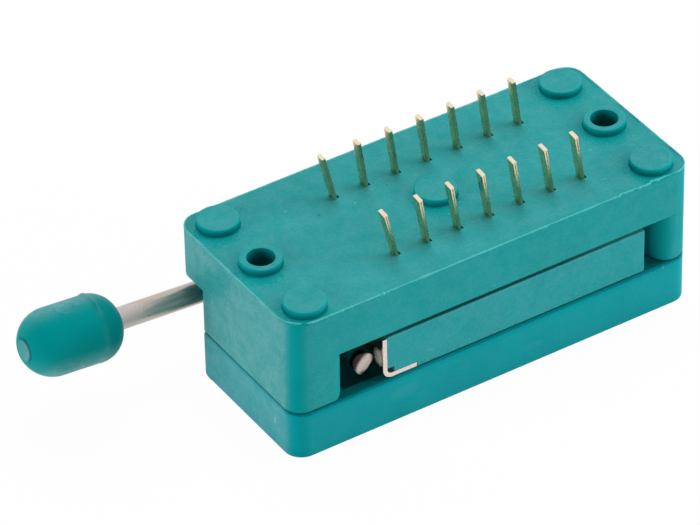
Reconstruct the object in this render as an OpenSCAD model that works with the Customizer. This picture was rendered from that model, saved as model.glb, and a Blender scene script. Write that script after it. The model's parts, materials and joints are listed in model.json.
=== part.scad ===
// Lever-operated zero-insertion-force socket for dual-in-line packages.
// It lies on its component face, with the solder tails pointing up. Sizes are in millimetres.
// The origin is the centre of the cover's outer face. +X runs along the body, away from the
// lever's knob, and +Z points to the tails.

/* [Body] */
// Length of the body
body_l = 32.6; // [30:0.2:60]
// Width of the body
body_w = 14.6; // [12:0.2:24]
// Radius of the upright corners
corner_r = 1.35; // [0.5:0.05:2]
// Height of the cover
cover_h = 3.75; // [3:0.05:6]
// Height of the base, from the seam to its tail-side face
base_h = 7.5; // [6.2:0.1:12]
// Height of the open bay that the slide runs in
bay_h = 3.9; // [3.7:0.05:4.5]
// Length of the base's leg at the lever end
near_leg_l = 3.9; // [3:0.05:4]
// Radius of the near leg's inner lower corners
leg_r = 0.9; // [0.2:0.1:1.5]
// Radius of the near leg's inner upright edges
leg_edge_r = 0.5; // [0.1:0.05:0.8]
// Thickness of the round-ended wall that is the base's leg at the far end
far_wall = 2.7; // [2.1:0.05:2.8]
// Length of the block round the far screw, from the body's end
far_block_l = 3.4; // [3:0.05:5]
// Width of the block round the far screw
far_block_w = 5; // [4:0.1:8]

/* [Feet and screws] */
// Diameter of the feet and the hollow bosses
foot_d = 3.05; // [2.6:0.05:3.6]
// Height of the feet and the hollow bosses
foot_h = 0.55; // [0.3:0.05:1.2]
// Distance of the feet from the body's ends
foot_end = 2.2; // [1.7:0.05:3]
// Distance of the corner feet from the body's long sides
foot_side = 1.85; // [1.6:0.05:3]
// Diameter of the mounting holes in the hollow bosses
mount_hole_d = 2; // [1.6:0.1:2.4]
// Depth of the mounting holes from the bosses' tops
mount_hole_depth = 3.6; // [2:0.1:4.4]
// Diameter of the cover screws' shanks
screw_d = 1.6; // [1.2:0.1:1.8]
// Diameter of the cover screws' heads
screw_head_d = 2.9; // [2.2:0.1:3.2]
// Height of the cover screws' heads
screw_head_h = 1.1; // [0.8:0.05:1.6]
// Depth of the screw heads below the cover's face
screw_sink = 0.15; // [0.05:0.05:0.6]
// Width of the slots in the screw heads
screw_slot_w = 0.45; // [0.3:0.05:0.8]
// Depth of the slots in the screw heads
screw_slot_depth = 0.5; // [0.2:0.05:0.7]

/* [Contacts] */
// Distance between neighbouring contacts in a row
contact_pitch = 2.54; // [2.4:0.01:3.1]
// Distance between the two rows
row_spacing = 7.62; // [6:0.01:8.4]
// Number of contacts in each row
per_row = 7; // [4:1:7]
// Distance of the contact field's centre from the body's centre, along the body
field_x = 1.64; // [1:0.02:2]
// Distance of the contact field's centre from the body's centre, across the body
field_y = -0.16; // [-0.4:0.02:0.4]
// Width of the contacts' spring arms
arm_w = 1.4; // [1:0.1:1.5]
// Thickness of the spring arms
arm_t = 0.2; // [0.15:0.01:0.25]
// Gap between the spring arms at their root
arm_gap = 0.5; // [0.4:0.05:0.6]
// Gap between the spring arms where they grip
nip_gap = 0.3; // [0.2:0.05:0.4]
// Height of the grip above the cover's face
nip_z = 2.2; // [1.8:0.05:2.6]
// Height of the spring arms' free ends above the cover's face
tip_z = 1.2; // [1:0.05:1.5]
// Width of the solder tails
tail_w = 0.68; // [0.4:0.02:0.8]
// Thickness of the solder tails
tail_t = 0.3; // [0.2:0.02:0.4]
// Length of the solder tails outside the deck
tail_l = 3.92; // [2.5:0.01:6]
// Lean of the solder tails towards the lever end, in degrees
tail_lean = 8; // [0:0.1:15]
// Lean of the first tail of each row, in degrees
first_lean = 13.3; // [0:0.1:16]
// Chamfer at the tails' tips
tail_chamfer = 0.06; // [0.05:0.01:0.15]

/* [Slide] */
// Distance that the slide travels as the lever opens
slide_travel = 0.7; // [0.4:0.05:0.7]
// Recess of the slide behind the base's long sides
slide_recess = 0.1; // [0.05:0.05:0.4]
// Gap between the slide's far end and the far screw's block
slide_end_gap = 0.45; // [0.2:0.05:1]
// Gap between the slide's top and the deck
slide_over = 0.3; // [0.2:0.05:0.4]
// Thickness of the wear plate
plate_t = 0.36; // [0.3:0.02:0.4]
// Outer radius of the wear plate's bend
plate_r = 0.75; // [0.6:0.05:0.9]
// Length of the wear plate's feet along the slide
plate_foot_l = 2.75; // [1.5:0.05:3]
// Wall between the wear plate's feet and the contacts' slots
plate_foot_wall = 0.18; // [0.1:0.02:1]
// Width of the guide tongue under the deck
tongue_w = 1.6; // [1:0.1:2.4]
// Depth of the guide tongue under the deck
tongue_h = 1.4; // [0.8:0.1:2]

/* [Lever] */
// Diameter of the lever's rod
rod_d = 1.6; // [1.3:0.02:1.92]
// Distance of the lever's pivot from the body's end
pivot_end = 5.3; // [5.2:0.05:6]
// Height of the lever's pivot above the seam
pivot_rise = 1.5; // [1.4:0.05:1.6]
// Throw of the crank
crank_throw = 0.9; // [0.7:0.05:0.95]
// Gap between the crank and the wear plate
crank_gap = 0.2; // [0.2:0.02:0.4]
// Distance of the crank's free end from the body's long side
crank_end_in = 0.8; // [0.6:0.05:1.5]
// Straight length of the crank beside the arm's bend
crank_l = 1.4; // [1:0.1:1.6]
// Length of the slope between the crank and the journal
crank_slope_l = 1; // [0.8:0.1:1.4]
// Distance of the arm's axis from the body's long side
arm_in = 1; // [1:0.05:1.4]
// Radius of the bend between the arm and the crank
bend_r = 1.5; // [1.2:0.05:2]
// Upward tilt of the closed arm, in degrees
arm_tilt = 4.2; // [0:0.1:6]
// Distance from the pivot to the knob's outer end
arm_reach = 18.3; // [16:0.1:40]
// Diameter of the knob
knob_d = 4.86; // [4:0.02:7]
// Length of the knob
knob_l = 7.3; // [6:0.05:10]
// Corner radius at the knob's rod end
knob_neck_r = 2; // [0.5:0.05:2]
// Diameter of the flat on the knob's outer end
knob_flat_d = 1.9; // [0.5:0.05:2.4]
// Depth of the rod's hole in the knob
knob_bore_l = 4.8; // [3:0.1:5]
// Width of the lever notch in the base, from the long side
notch_w = 3.2; // [3.1:0.05:4]
// Height of the lever notch above the seam
notch_h = 3.55; // [3.2:0.05:3.6]

/* [Cover] */
// Width of the lead slots at the cover's face, along the body
lead_mouth_l = 1.4; // [1.2:0.05:1.8]
// Width of the lead slots at the cover's face, across the body
lead_mouth_w = 2; // [1.8:0.05:2.4]
// Taper of the lead slots on each side
lead_taper = 0.3; // [0.1:0.05:0.35]
// Depth of the lead slots' taper
lead_taper_depth = 0.5; // [0.2:0.05:0.8]
// Thickness of the cover's skin over the contact chambers
cover_skin = 0.9; // [0.8:0.05:1]
// Width of the cover's rim beside the crank pocket
rim_w = 0.85; // [0.6:0.05:1.2]
// Depth of the crank pocket below the seam
pocket_depth = 1.2; // [0.8:0.05:2]

/* [Fits] */
// Radial play of the lever's journal in its bearing
journal_play = 0.03; // [0.01:0.01:0.08]
// Gap between the slide's underside and the cover
slide_under = 0.05; // [0.03:0.01:0.1]
// Play on each side of the guide tongue
tongue_play = 0.08; // [0.05:0.01:0.15]
// Play of the contacts in their pockets
contact_play = 0.05; // [0.03:0.01:0.08]
// Play of the tails in their slots, away from the open end
tail_play = 0.03; // [0.02:0.01:0.06]
// Opening of each tail slot beside its tail
tail_slot_open = 0.18; // [0.1:0.05:0.5]
// Radial play of the screws in the legs and of the rod in the knob
hole_play = 0.02; // [0.01:0.01:0.05]
// Radial play of the screws in the cover
screw_play = 0.1; // [0.05:0.05:0.2]

/* [Hidden] */
$fn = 64;
// Overrun of cuts past the faces they open
over = 0.1;
// Small sink of joined solids into each other
sink = 0.02;

// Levels, from the table up
seam_z = cover_h;
bay_z = seam_z + bay_h;
deck_z = seam_z + base_h;
seat_z = deck_z + foot_h;
slide_z = seam_z + slide_under;
slide_top = bay_z - slide_over;
pivot_z = seam_z + pivot_rise;

// Contacts
contact_root = 1;
nip_run = 2.8;
bridge_z = bay_z + contact_root;
nip_start = nip_z + nip_run;
arm_out = arm_gap / 2 + arm_t;
tip_flare = 0.2;
field_l = (per_row - 1) * contact_pitch;
contact_count = 2 * per_row;
chamber_side = 0.25;
chamber_back = 1.4;
chamber_fore = 0.7;
chamber_w = arm_w + 2 * chamber_side;

// Lever and slide
rod_r = rod_d / 2;
near_face = near_leg_l - body_l / 2;
far_face = body_l / 2 - far_block_l;
far_edge_r = far_wall - corner_r;
pivot_x = pivot_end - body_l / 2;
crank_end_y = crank_end_in - body_w / 2;
arm_y = body_w / 2 - arm_in;
bend_y = arm_y - bend_r;
crank_y = bend_y - crank_l;
journal_y = crank_y - crank_slope_l;
bearing_side = 0.4;
bearing_w = 2 * (journal_y - bearing_side);
bearing_gap = 0.05;
saddle_h = 0.85;
plate_x = pivot_x + crank_throw + rod_r + crank_gap;
slide_x = plate_x + plate_t;
slide_end = far_face - slide_end_gap;
slide_w = body_w - 2 * slide_recess;
slot_back = arm_out + contact_play;
slot_fore = arm_out + slide_travel + 2 * contact_play;
slot_side = 0.15;
slot_w = arm_w + 2 * slot_side;
plate_foot_w = slide_w / 2 - row_spacing / 2 - abs(field_y) - slot_w / 2 - plate_foot_wall;
runner_w = 0.8;
runner_in = 0.9;
plate_top_gap = 0.05;
tongue_l = field_l - contact_pitch;

// Cover and screws
notch_y = body_w / 2 - notch_w;
cover_notch_x = pivot_x + 2 * rod_r;
pocket_wall = 0.35;
pocket_x0 = near_face + pocket_wall;
pocket_x1 = plate_x + plate_t;
foot_x = body_l / 2 - foot_end;
foot_y = body_w / 2 - foot_side;
hole_web = 0.45;
screw_tip_gap = 0.4;
screw_tip_z = seat_z - mount_hole_depth - hole_web - screw_tip_gap;

teal = [0.1, 0.5, 0.5];
pale_teal = [0.17, 0.57, 0.58];
steel = [0.72, 0.7, 0.67];
gold = [0.85, 0.68, 0.36];

function two_digits(n) = n < 10 ? str("0", n) : str(n);
function contact_name(n) = str("contact_", two_digits(n + 1));
function contact_x(n) = field_x + (n % per_row - (per_row - 1) / 2) * contact_pitch;
function contact_y(n) = field_y + (n < per_row ? -1 : 1) * row_spacing / 2;
function lean_of(n) = n % per_row == 0 ? first_lean : tail_lean;

// Outline of the body, seen from above
module footprint() {
    square([body_l - 2 * corner_r, body_w], center = true);
    square([body_l, body_w - 2 * corner_r], center = true);
    for (x = [-1, 1], y = [-1, 1])
        translate([x * (body_l / 2 - corner_r), y * (body_w / 2 - corner_r)]) circle(corner_r);
}

// Box between two corners
module box(low, high) {
    translate(low) cube(high - low);
}

// Outline in X and Z, carried through the width w about y = 0
module across(w) {
    rotate([90, 0, 0]) linear_extrude(w, center = true) children();
}

// Copies of the children at every contact's place
module at_contacts() {
    for (n = [0:contact_count - 1]) translate([contact_x(n), contact_y(n), 0]) children();
}

// Copies of the children at both ends of the centreline
module at_bosses() {
    for (x = [-1, 1]) translate([x * foot_x, 0, 0]) children();
}

// Side view of a leg whose inner lower corner, at the length l, is rounded
module leg_outline(l) {
    square([l - leg_r, bay_h + sink]);
    translate([0, leg_r]) square([l, bay_h + sink - leg_r]);
    translate([l - leg_r, leg_r]) circle(leg_r);
}

// Plan of a leg whose inner upright edges, at the length l, have the radius r
module leg_plan(l, r) {
    translate([0, -body_w / 2]) square([l - r, body_w]);
    translate([0, r - body_w / 2]) square([l, body_w - 2 * r]);
    for (y = [-1, 1]) translate([l - r, y * (body_w / 2 - r)]) circle(r);
}

// The legs stand on the seam, with their outer ends at the origin
module near_leg() {
    intersection() {
        across(body_w) leg_outline(near_leg_l);
        linear_extrude(bay_h + sink) leg_plan(near_leg_l, leg_edge_r);
    }
}

module far_leg() {
    linear_extrude(bay_h + sink) {
        leg_plan(far_wall, far_edge_r);
        translate([0, -far_block_w / 2]) square([far_block_l, far_block_w]);
    }
}

module legs() {
    translate([0, 0, seam_z]) intersection() {
        linear_extrude(bay_h + sink) footprint();
        union() {
            translate([-body_l / 2, 0, 0]) near_leg();
            translate([body_l / 2, 0, 0]) mirror([1, 0, 0]) far_leg();
        }
    }
}

module lever_notch() {
    box([-body_l / 2 - over, notch_y, seam_z - over],
        [near_face + over, body_w / 2 + over, seam_z + notch_h]);
}

// Block between the near leg and the journal, which takes the crank's push
module bearing_block() {
    difference() {
        union() {
            box([near_face - sink, -bearing_w / 2, seam_z + saddle_h + bearing_gap],
                [pivot_x, bearing_w / 2, bay_z + sink]);
            box([near_face - sink, -bearing_w / 2, pivot_z + rod_r],
                [pivot_x + rod_r, bearing_w / 2, bay_z + sink]);
        }
        journal_bore();
    }
}

module journal_bore() {
    translate([pivot_x, 0, pivot_z]) rotate([90, 0, 0])
        cylinder(r = rod_r + journal_play, h = bearing_w + 2 * over, center = true);
}

module tongue() {
    translate([field_x, field_y, 0])
        box([-tongue_l / 2, -tongue_w / 2, bay_z - tongue_h], [tongue_l / 2, tongue_w / 2, bay_z + sink]);
}

module feet() {
    translate([0, 0, deck_z - sink]) linear_extrude(foot_h + sink) {
        translate([0, field_y]) circle(d = foot_d);
        for (x = [-1, 1], y = [-1, 0, 1]) translate([x * foot_x, y * foot_y]) circle(d = foot_d);
    }
}

// Pocket for a contact's bridge, and the slot that its tail passes through
module contact_seat() {
    box([-slot_back, -arm_w / 2 - contact_play, bay_z - over],
        [slot_back, arm_w / 2 + contact_play, bridge_z]);
    box([-tail_t / 2 - tail_play, -tail_w / 2 - tail_play, bridge_z - over],
        [tail_t / 2 + tail_slot_open, tail_w / 2 + tail_play, deck_z + over]);
}

module base() {
    color(teal) difference() {
        union() {
            translate([0, 0, bay_z]) linear_extrude(deck_z - bay_z) footprint();
            legs();
            bearing_block();
            tongue();
            feet();
        }
        lever_notch();
        at_contacts() contact_seat();
        at_bosses() {
            translate([0, 0, seat_z - mount_hole_depth])
                cylinder(d = mount_hole_d, h = mount_hole_depth + over);
            translate([0, 0, seam_z - over])
                cylinder(r = screw_d / 2 + hole_play, h = screw_tip_z + screw_tip_gap - seam_z + over);
        }
    }
}

// Side view of a lead slot that narrows from its mouth
module lead_outline(mouth) {
    throat = mouth / 2 - lead_taper;
    polygon([[-mouth / 2, 0], [mouth / 2, 0], [throat, lead_taper_depth], [throat, cover_skin + over],
             [-throat, cover_skin + over], [-throat, lead_taper_depth]]);
}

// Funnel at the cover's face and the chamber behind it
module lead_slot() {
    translate([0, 0, -sink]) intersection() {
        across(lead_mouth_w) lead_outline(lead_mouth_l);
        rotate([0, 0, 90]) across(lead_mouth_l) lead_outline(lead_mouth_w);
    }
    box([-chamber_back, -chamber_w / 2, cover_skin], [chamber_fore, chamber_w / 2, seam_z + over]);
}

// Space for the crank, with the saddle that carries the journal left standing
module crank_pocket() {
    difference() {
        box([pocket_x0, rim_w - body_w / 2, seam_z - pocket_depth],
            [pocket_x1, notch_y - rim_w, seam_z + over]);
        box([pocket_x0 - over, -bearing_w / 2, 0], [pivot_x + rod_r, bearing_w / 2, seam_z]);
    }
}

module saddle() {
    difference() {
        box([pocket_x0, -bearing_w / 2, seam_z - sink],
            [pivot_x + rod_r, bearing_w / 2, seam_z + saddle_h]);
        journal_bore();
    }
}

module cover() {
    color(teal) {
        difference() {
            linear_extrude(cover_h) footprint();
            box([-body_l / 2 - over, notch_y, -over],
                [cover_notch_x, body_w / 2 + over, seam_z + over]);
            at_contacts() lead_slot();
            crank_pocket();
            at_bosses() {
                translate([0, 0, -over]) cylinder(r = screw_d / 2 + screw_play, h = cover_h + 2 * over);
                translate([0, 0, -over])
                    cylinder(r = screw_head_d / 2 + screw_play, h = screw_sink + screw_head_h + over);
            }
        }
        saddle();
    }
}

// Room under the slide's near end for the wear plate's feet and its bend
module plate_foot_recess() {
    for (y = [-1, 1]) translate([0, y * (slide_w - plate_foot_w) / 2, 0]) {
        w = plate_foot_w / 2 + contact_play;
        low = [slide_x - over, -w, slide_z - over];
        box(low, [plate_x + plate_foot_l + contact_play, w, slide_z + plate_t]);
        box(low, [plate_x + plate_r + plate_t / 2, w, slide_z + plate_r + contact_play]);
    }
}

// Groove for the guide tongue, long enough for the slide's travel
module tongue_groove() {
    side = tongue_w / 2 + tongue_play;
    end = tongue_l / 2 + tongue_play;
    translate([field_x, field_y, 0])
        box([-end, -side, bay_z - tongue_h - tongue_play], [end + slide_travel, side, bay_z]);
}

module slide() {
    color(pale_teal) difference() {
        union() {
            box([slide_x, -slide_w / 2, slide_z], [slide_end, slide_w / 2, slide_top]);
            for (y = [-1, 1]) translate([0, y * (slide_w / 2 - runner_in - runner_w / 2), 0])
                box([slide_x, -runner_w / 2, slide_top - sink],
                    [slide_end, runner_w / 2, bay_z - slide_under]);
        }
        at_contacts() box([-slot_back, -slot_w / 2, slide_z - over], [slot_fore, slot_w / 2, bay_z]);
        tongue_groove();
        plate_foot_recess();
    }
}

// Bent section of the wear plate, its outer corner at the origin
module plate_outline() {
    plate_h = slide_top - plate_top_gap - slide_z;
    translate([0, plate_r]) square([plate_t, plate_h - plate_r]);
    translate([plate_r, 0]) square([plate_foot_l - plate_r, plate_t]);
    intersection() {
        square(plate_r);
        translate([plate_r, plate_r]) difference() {
            circle(plate_r);
            circle(plate_r - plate_t);
        }
    }
}

module wear_plate() {
    middle_w = slide_w - 2 * plate_foot_w;
    color(steel) difference() {
        translate([plate_x, 0, slide_z]) across(slide_w) plate_outline();
        box([slide_x, -middle_w / 2, slide_z - over], [slide_x + plate_foot_l, middle_w / 2, slide_top]);
        box([plate_x - over, -middle_w / 2, slide_z - over],
            [slide_x + over, middle_w / 2, slide_z + plate_r]);
    }
}

// Straight length of rod between two points of the crank's plane
module rod(from, to) {
    step = to - from;
    translate(from) rotate([0, 90, atan2(step[1], step[0])]) cylinder(r = rod_r, h = norm(step));
}

// Moves the children from the lever's own frame, arm along -X and pivot at the origin, to the body
module closed_lever() {
    translate([pivot_x, 0, pivot_z]) rotate([0, arm_tilt, 0]) children();
}

module lever() {
    rod_tip_x = -(arm_reach - knob_l + knob_bore_l - over);
    path = [[crank_throw, crank_end_y, 0], [crank_throw, -crank_y, 0], [0, -journal_y, 0],
            [0, journal_y, 0], [crank_throw, crank_y, 0], [crank_throw, bend_y, 0]];
    color(steel) closed_lever() {
        for (i = [1:len(path) - 1]) rod(path[i - 1], path[i]);
        for (i = [1:len(path) - 2]) translate(path[i]) sphere(rod_r);
        translate([crank_throw - bend_r, bend_y, 0])
            rotate_extrude(angle = 90) translate([bend_r, 0]) circle(rod_r);
        rod([crank_throw - bend_r, arm_y, 0], [rod_tip_x, arm_y, 0]);
    }
}

// Half section of the knob, from its rod end up
module knob_outline() {
    knob_r = knob_d / 2;
    flat_cut = knob_r - sqrt(pow(knob_r, 2) - pow(knob_flat_d / 2, 2));
    nose_y = knob_l + flat_cut - knob_r;
    intersection() {
        square([knob_r, knob_l]);
        union() {
            square([knob_r - knob_neck_r, nose_y]);
            translate([0, knob_neck_r]) square([knob_r, nose_y - knob_neck_r]);
            translate([knob_r - knob_neck_r, knob_neck_r]) circle(knob_neck_r);
            translate([0, nose_y]) circle(knob_r);
        }
    }
}

module lever_knob() {
    color(teal) closed_lever() translate([knob_l - arm_reach, arm_y, 0]) rotate([0, -90, 0]) difference() {
        rotate_extrude() knob_outline();
        translate([0, 0, -over]) cylinder(r = rod_r + hole_play, h = knob_bore_l + over);
    }
}

module cover_screws() {
    head_top = screw_sink + screw_head_h;
    color(steel) at_bosses() difference() {
        union() {
            translate([0, 0, screw_sink]) cylinder(d = screw_head_d, h = screw_head_h);
            translate([0, 0, head_top - sink]) cylinder(d = screw_d, h = screw_tip_z - head_top + sink);
        }
        translate([0, 0, screw_sink])
            cube([screw_head_d + over, screw_slot_w, 2 * screw_slot_depth], center = true);
    }
}

// Side view of the two spring arms and the bridge that joins them
module contact_outline() {
    in = arm_gap / 2;
    nip = nip_gap / 2;
    flare = nip + tip_flare;
    outer = [[arm_out, bridge_z], [arm_out, nip_start], [nip + arm_t, nip_z], [flare + arm_t, tip_z]];
    inner = [[flare, tip_z], [nip, nip_z], [in, nip_start], [in, bridge_z - tail_t]];
    half = concat(outer, inner);
    mirrored = [for (i = [len(half) - 1:-1:0]) [-half[i][0], half[i][1]]];
    polygon(concat(half, mirrored));
}

// Flat tail of the length l with a chamfered tip
module tail_blade(l) {
    side = tail_w / 2;
    rotate([90, 0, 90]) linear_extrude(tail_t, center = true)
        polygon([[-side, 0], [side, 0], [side, l - tail_chamfer], [side - tail_chamfer, l],
                 [tail_chamfer - side, l], [-side, l - tail_chamfer]]);
}

module contact(n) {
    color(gold) translate([contact_x(n), contact_y(n), 0]) {
        across(arm_w) contact_outline();
        box([-tail_t / 2, -tail_w / 2, bridge_z - tail_t / 2], [tail_t / 2, tail_w / 2, deck_z]);
        translate([0, 0, deck_z]) {
            rotate([90, 0, 0]) cylinder(d = tail_t, h = tail_w, center = true);
            rotate([0, -lean_of(n), 0]) tail_blade(tail_l);
        }
    }
}

base();
cover();
slide();
wear_plate();
lever();
lever_knob();
cover_screws();
for (n = [0:contact_count - 1]) contact(n);
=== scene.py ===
# Looks of a teal lever socket for dual-in-line chips, lying on its face with the solder tails up
import json
from math import cos, pi, radians, sin

import bmesh
import bpy
import numpy as np
from mathutils import Matrix, Vector


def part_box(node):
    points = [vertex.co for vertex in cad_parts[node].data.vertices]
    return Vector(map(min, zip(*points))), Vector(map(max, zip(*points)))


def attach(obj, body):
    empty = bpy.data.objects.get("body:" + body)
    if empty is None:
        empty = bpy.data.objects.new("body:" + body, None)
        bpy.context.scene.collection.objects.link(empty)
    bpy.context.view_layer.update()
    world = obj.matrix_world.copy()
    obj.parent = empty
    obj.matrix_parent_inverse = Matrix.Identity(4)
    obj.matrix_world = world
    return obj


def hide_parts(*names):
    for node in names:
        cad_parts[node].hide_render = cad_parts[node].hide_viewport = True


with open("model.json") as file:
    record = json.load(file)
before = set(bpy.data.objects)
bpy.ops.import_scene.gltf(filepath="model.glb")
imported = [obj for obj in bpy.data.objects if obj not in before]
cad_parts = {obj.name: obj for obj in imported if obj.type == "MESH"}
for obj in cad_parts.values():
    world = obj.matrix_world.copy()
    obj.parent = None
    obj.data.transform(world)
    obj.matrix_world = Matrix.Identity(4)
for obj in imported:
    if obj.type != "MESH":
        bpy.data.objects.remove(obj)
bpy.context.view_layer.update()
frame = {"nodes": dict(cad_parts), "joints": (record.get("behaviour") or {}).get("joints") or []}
mm = 0.001
print("frame loaded:", len(frame["nodes"]), "nodes")

# Sizes that several pieces share, in millimetres
touch = 0.02                    # what is nearer than this to a level lies on it
square = 0.99                   # a face is square to an axis from this share of its normal on
baseLow, baseHigh = [np.array(corner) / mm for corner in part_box("base")]
body = {
    "cornerRadius": 1.35,
    "footHeight": 0.55,
    "footRadius": 1.525,
    "holeRadius": 1.0,          # mounting holes in the two hollow bosses
    "footInset": (2.2, 1.85),   # the feet's centres from the ends and from the long sides
    "fieldY": -0.16,            # the contact field's centre line
    "bayHeight": 3.9,           # of the slide's bay, over the seam
    "notchY": 4.1,              # where the lever's notch begins across the body
    "notchEnd": -9.3,           # and where it ends along the body
    "contactReach": 0.55,       # from a contact's centre to its widest point along +X
}
halfBody = (baseHigh - baseLow)[:2] / 2
leftX, frontY = -halfBody       # the walls on the lever's side and towards the camera
contactNodes = sorted(node for node in frame["nodes"] if node.startswith("contact_"))
contactBoxes = np.array([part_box(node) for node in contactNodes]) / mm
contactX = contactBoxes[:, 1, 0] - body["contactReach"]
contactPlaces = np.stack([contactX, contactBoxes[..., 1].mean(axis=1)], axis=1)
seamZ, seatZ = float(baseLow[2]), float(baseHigh[2])
deckZ = seatZ - body["footHeight"]
endX, sideY = halfBody - body["footInset"]
feet = np.array([               # centre, and how far the foot stands off the frame's place
    (-endX, -sideY, 0, 0),
    (-endX, sideY, 0, 0),
    (endX, -sideY, 0, 0),
    (endX, sideY, 0, 0),
    (0, body["fieldY"], 0, 0.14),
    (-endX, 0, 0.08, 0.125),
    (endX, 0, -0.03, 0.085),
])
bosses = feet[-2:]              # the hollow ones


# Mesh helpers

def gridQuads(rows, cols, closeRows=False):
    # quads of a rows x cols grid whose columns run round; closeRows also joins the last row to the first
    r = np.arange(rows if closeRows else rows - 1)[:, None]
    c = np.arange(cols)[None, :]
    nextR, nextC = (r + 1) % rows, (c + 1) % cols
    corners = (r * cols + c, r * cols + nextC, nextR * cols + nextC, nextR * cols + c)
    return np.stack(np.broadcast_arrays(*corners), axis=-1).reshape(-1, 4)


def cappedTube(rings):
    # rings is rows x cols x 3: quads between neighbouring rings, and a flat cap on the first and the last one
    rows, cols = rings.shape[:2]
    caps = [list(range(cols)), list(range((rows - 1) * cols, rows * cols))]
    return rings.reshape(-1, 3), gridQuads(rows, cols).tolist() + caps


def joined(*shells):
    # several (points, faces) shells as one
    points, faces, start = [], [], 0
    for shellPoints, shellFaces in shells:
        points.append(shellPoints)
        faces += [[i + start for i in face] for face in shellFaces]
        start += len(shellPoints)
    return np.concatenate(points), faces


def addObject(name, data):
    made = bpy.data.objects.new(name, data)
    bpy.context.scene.collection.objects.link(made)
    return made


def addMesh(name, points, faces):
    mesh = bpy.data.meshes.new(name)
    mesh.from_pydata(points.tolist(), [], faces)
    work = bmesh.new()
    work.from_mesh(mesh)
    bmesh.ops.recalc_face_normals(work, faces=work.faces)
    work.to_mesh(mesh)
    work.free()
    mesh.shade_smooth()
    return addObject(name, mesh)


def paint(piece, attribute, values, domain="POINT"):
    # one number for each point or face, which a material reads by the attribute's name
    layer = piece.data.attributes.new(attribute, "FLOAT", domain)
    layer.data.foreach_set("value", np.asarray(values, np.float32).ravel())


def readRows(items, key):
    # x, y and z of each of a mesh's points or faces, one row each
    rows = np.empty(len(items) * 3, np.float32)
    items.foreach_get(key, rows)
    return rows.reshape(-1, 3)


def settle(piece, bodyName, slotName, materials, *nodes):
    piece.data.materials.clear()
    for material in materials:
        piece.data.materials.append(material)
    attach(piece, bodyName)
    if nodes:
        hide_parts(*nodes)


rounding = {
    "merge": 1e-7,              # metres: points of the frame's triangles that are nearer become one
    "level": 0.3,               # degrees: faces that turn less become one
    "crease": 30,               # degrees: an edge that isn't rounded and turns more stays sharp
    "segments": 3,
    "flatWeight": 80,           # how strongly large faces keep their shading flat
}


def edgeTable(piece):
    # each edge's two ends in millimetres, and its turn in degrees, below 0 in an inside corner
    work = bmesh.new()
    work.from_mesh(piece.data)
    ends = np.array([[point.co for point in edge.verts] for edge in work.edges]) / mm
    turn = np.degrees([edge.calc_face_angle_signed(0) for edge in work.edges])
    work.free()
    return ends, turn


def bothAt(ends, axis, level):
    return (np.abs(ends[:, :, axis] - level) < touch).all(axis=1)


def onOutline(ends):
    # edges that lie on the body's rounded outline, seen from above
    out = np.maximum(np.abs(ends[..., :2]) - (halfBody - body["cornerRadius"]), 0)
    return (np.abs(np.linalg.norm(out, axis=-1) - body["cornerRadius"]) < touch).all(axis=1)


def softEdges(piece, widths, turn):
    # rounds each edge by its own width in millimetres; the new faces take the last of the piece's materials,
    # and the corners that stay as they are shade sharp
    widest = widths.max()
    creased = (widths == 0) & (np.abs(turn) > rounding["crease"])
    piece.data.edges.foreach_set("use_edge_sharp", creased)
    layer = piece.data.attributes.new("bevel_weight_edge", "FLOAT", "EDGE")
    layer.data.foreach_set("value", (widths / widest).astype(np.float32))
    bevel = piece.modifiers.new("softEdges", "BEVEL")
    bevel.width = widest * mm
    bevel.segments = rounding["segments"]
    bevel.limit_method = "WEIGHT"
    bevel.use_clamp_overlap = False
    bevel.material = len(piece.data.materials) - 1
    flat = piece.modifiers.new("flatFaces", "WEIGHTED_NORMAL")
    flat.keep_sharp = True
    flat.weight = rounding["flatWeight"]


def mouldedCopy(name, node, cuts):
    # the CAD node's own shape with its loose triangles merged and its flat faces whole again; a cut splits
    # the faces that pass its test, so that a rounded edge can stop there or a corner can bend
    mesh = frame["nodes"][node].data.copy()
    mesh.name = name
    work = bmesh.new()
    work.from_mesh(mesh)
    bmesh.ops.remove_doubles(work, verts=work.verts, dist=rounding["merge"])
    level = radians(rounding["level"])
    bmesh.ops.dissolve_limit(work, angle_limit=level, verts=work.verts, edges=work.edges)
    for axis, place, test in cuts:
        parts = {part for face in work.faces if test(face) for part in (*face.verts, *face.edges, face)}
        bmesh.ops.bisect_plane(work, geom=list(parts), plane_co=Vector(axis) * place * mm, plane_no=axis)
    work.to_mesh(mesh)
    work.free()
    mesh.shade_smooth()
    return addObject(name, mesh)


def roundedPath(corners, step, radius=0.0, arcPoints=5, slack=1e-6):
    # points along a flat polyline whose inner corners are arcs of the radius, about one step apart, with at
    # least so many points on each arc; the slack decides for a run of whole steps
    corners = np.asarray(corners, float)
    legs = np.diff(corners, axis=0)
    ways = legs / np.linalg.norm(legs, axis=1)[:, None]
    stops = [corners[0]]
    for before, after, corner in zip(ways[:-1], ways[1:], corners[1:-1]):
        turn = np.arccos(np.clip(before @ after, -1, 1))
        cut = radius * np.tan(turn / 2)
        side = (after - before * (before @ after)) / np.sin(turn)
        centre = corner - before * cut + side * radius
        a = np.linspace(0, turn, max(arcPoints, int(turn * radius / step) + 2))[:, None]
        stops += list(centre + radius * (before * np.sin(a) - side * np.cos(a)))
    stops = np.array(stops + [corners[-1]])
    runs = np.linalg.norm(np.diff(stops, axis=0), axis=1)
    pieces = [stops[:1]]
    for start, end, run in zip(stops[:-1], stops[1:], runs):
        t = np.linspace(0, 1, max(1, int(run / step - slack)) + 1)[1:, None]
        pieces.append(start + (end - start) * t)
    return np.concatenate(pieces)


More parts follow.
